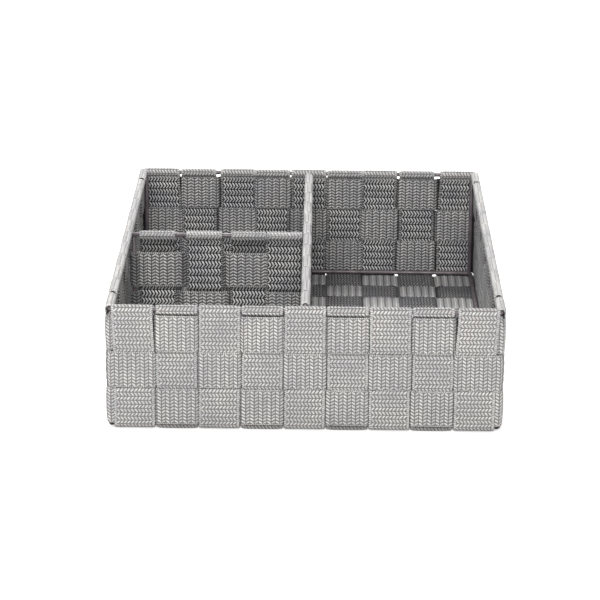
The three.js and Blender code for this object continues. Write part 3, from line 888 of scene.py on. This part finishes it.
# A round wire along the path, with its cut ends rounded off
def sweepWire(name, node, path, closed):
    path = np.array(path, float)
    sides, radius = wire["sides"], wire["radius"]
    radii = np.full(len(path), radius)
    if closed:
        ahead = np.roll(path, -1, axis=0) - np.roll(path, 1, axis=0)
    else:
        ahead = np.gradient(path, axis=0)
        radii[[0, -1]] = radius - wire["endRound"]
    ahead /= np.linalg.norm(ahead, axis=1)[:, None]
    upright = abs(ahead[0][2]) > math.cos(math.pi / 4)
    first = np.cross((0, 1.0, 0) if upright else (0, 0, 1.0), ahead)
    first /= np.linalg.norm(first, axis=1)[:, None]
    second = np.cross(ahead, first)
    angles = np.linspace(0, 2 * math.pi, sides, endpoint=False)
    outward = (np.cos(angles)[None, :, None] * first[:, None]
               + np.sin(angles)[None, :, None] * second[:, None])
    rings = path[:, None] + radii[:, None, None] * outward
    count = len(path)
    faces = []
    for k in range(count if closed else count - 1):
        low, high = k * sides, (k + 1) % count * sides
        for s in range(sides):
            beside = (s + 1) % sides
            faces.append((low + s, low + beside, high + beside, high + s))
    if not closed:
        faces.append(tuple(range(sides - 1, -1, -1)))
        faces.append(tuple((count - 1) * sides + s for s in range(sides)))
    mesh = bpy.data.meshes.new(name)
    mesh.from_pydata((rings.reshape(-1, 3) * mm).tolist(), [], faces)
    mesh.shade_smooth()
    mesh.materials.append(wireMaterial)
    piece = bpy.data.objects.new(name, mesh)
    bpy.context.scene.collection.objects.link(piece)
    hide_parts(node)
    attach(piece, "root")


def ringPath(node, corner):
    low, high = boxOf(node)
    z = (low[2] + high[2]) / 2
    x, y = (high - low)[:2] / 2 - wire["radius"] - corner
    steps = lay["bendSteps"]
    path = []
    for quarter, (bendX, bendY) in enumerate(((x, y), (-x, y), (-x, -y), (x, -y))):
        for step in range(steps + 1):
            angle = (quarter + step / steps) * math.pi / 2
            path.append((bendX + corner * math.cos(angle), bendY + corner * math.sin(angle), z))
    return path


def straightPath(node):
    low, high = boxOf(node)
    axis = int(np.argmax(high - low))
    path = []
    for at in (low[axis], low[axis] + wire["endRound"], high[axis] - wire["endRound"], high[axis]):
        spot = (low + high) / 2
        spot[axis] = at
        path.append(spot)
    return path


sweepWire("wire.rim", "rim_wire", ringPath("rim_wire", wire["rimCorner"]), True)
sweepWire("wire.base", "base_wire", ringPath("base_wire", wire["baseCorner"]), True)
for node in sorted(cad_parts):
    if "post" in node or node.endswith(("divider_top_wire", "divider_base_wire")):
        sweepWire("wire." + node.replace("_wire", ""), node, straightPath(node), False)
print("wires bent")

# A light tent over a white sweep. Lengths here are in metres.
studio = {
    "floor": "#f2f1ef",
    "floorSize": 6.0,
    "floorGlow": 0.3,  # for the camera and reflections only
    "horizon": 0.85,  # how bright the tent is there
    "zenith": 0.75,
    "lamps": [  # name, watts, side, place
        ("softBoxBehind", 47.0, 1.0, (-0.2, 1.25, 1.3)),
        ("softBoxInFront", 28.0, 0.7, (-0.1, -1.75, 0.95)),
    ],
    "aim": (0, 0, 0.05),
}

reach = studio["floorSize"] / 2
floorCorners = [(x * reach, y * reach, 0) for x, y in ((-1, -1), (1, -1), (1, 1), (-1, 1))]
floorMesh = bpy.data.meshes.new("studioFloor")
floorMesh.from_pydata(floorCorners, [], [(0, 1, 2, 3)])
floor = bpy.data.objects.new("studioFloor", floorMesh)
bpy.context.scene.collection.objects.link(floor)


# Matt white paper with no gloss. It shows white to the camera and keeps the tray's shadow.
def paperSweep():
    material, tree = newMaterial("paperSweep")
    ray = addNode(tree, "ShaderNodeLightPath", {}, {})
    seen = addNode(tree, "ShaderNodeMath", {"operation": "MAXIMUM"},
                   {0: ray.outputs["Is Camera Ray"], 1: ray.outputs["Is Glossy Ray"]})
    glow = addNode(tree, "ShaderNodeMath", {"operation": "MULTIPLY"},
                   {0: seen, 1: studio["floorGlow"]})
    paper = addNode(tree, "ShaderNodeBsdfDiffuse", {}, {"Color": hexColour(studio["floor"])})
    lit = addNode(tree, "ShaderNodeEmission", {}, {"Strength": glow})
    both = addNode(tree, "ShaderNodeAddShader", {}, {0: paper, 1: lit})
    addNode(tree, "ShaderNodeOutputMaterial", {}, {"Surface": both})
    return material


floorMesh.materials.append(paperSweep())

# The tent lights the tray from all round, and shows plain white.
world = bpy.data.worlds.new("lightTent")
bpy.context.scene.world = world
world.use_nodes = True
world.node_tree.nodes.clear()
tent = world.node_tree
looking = addNode(tent, "ShaderNodeTexCoord", {}, {})
height = addNode(tent, "ShaderNodeSeparateXYZ", {}, {0: looking.outputs["Generated"]})
bright = addNode(tent, "ShaderNodeMapRange", {},
                 {0: height.outputs["Z"], 1: 0.0, 2: 1.0, 3: studio["horizon"], 4: studio["zenith"]})
ray = addNode(tent, "ShaderNodeLightPath", {}, {})
reflected = addNode(tent, "ShaderNodeMath", {"operation": "MAXIMUM"},
                    {0: ray.outputs["Is Camera Ray"], 1: ray.outputs["Is Glossy Ray"]})
seen = addNode(tent, "ShaderNodeMath", {"operation": "MAXIMUM"},
               {0: reflected, 1: ray.outputs["Is Transmission Ray"]})
strength = addNode(tent, "ShaderNodeMix", {}, {0: seen, 2: bright, 3: 1.0})
backdrop = addNode(tent, "ShaderNodeBackground", {},
                   {"Color": hexColour("#ffffff"), "Strength": strength})
addNode(tent, "ShaderNodeOutputWorld", {}, {"Surface": backdrop})


def placed(right, up, back, position):
    matrix = Matrix(np.stack([right, up, back], 1).tolist()).to_4x4()
    matrix.translation = position
    return matrix


def softBox(name, watts, size, position, target):
    lamp = bpy.data.lights.new(name, "AREA")
    lamp.shape = "SQUARE"
    lamp.size = size
    lamp.energy = watts
    box = bpy.data.objects.new(name, lamp)
    bpy.context.scene.collection.objects.link(box)
    back = np.array(position, float) - np.array(target, float)
    back /= np.linalg.norm(back)
    right = np.cross((0, 0, 1), back)
    right /= np.linalg.norm(right)
    box.matrix_world = placed(right, np.cross(back, right), back, position)


for name, watts, size, position in studio["lamps"]:
    softBox(name, watts, size, position, studio["aim"])

# The photograph was taken from the front, a little above the rim, with a long lens.
shot = {
    "location": (0.009, -1.663, 0.592),
    "yaw": -0.47,
    "pitch": 18.56,
    "roll": 0.49,
    "lens": 153.6,
    "sensor": 36.0,
}
yaw, pitch, roll = (math.radians(shot[key]) for key in ("yaw", "pitch", "roll"))
forward = np.array([math.cos(pitch) * math.sin(yaw), math.cos(pitch) * math.cos(yaw),
                    -math.sin(pitch)])
level = np.array([math.cos(yaw), -math.sin(yaw), 0])
upward = np.cross(level, forward)
cameraX = math.cos(roll) * level + math.sin(roll) * upward
cameraY = -math.sin(roll) * level + math.cos(roll) * upward
lensData = bpy.data.cameras.new("camera")
lensData.lens = shot["lens"]
lensData.sensor_width = shot["sensor"]
camera = bpy.data.objects.new("camera", lensData)
bpy.context.scene.collection.objects.link(camera)
camera.matrix_world = placed(cameraX, cameraY, -forward, shot["location"])
bpy.context.scene.camera = camera
bpy.context.scene.view_settings.view_transform = "Standard"
print("studio and camera ready")
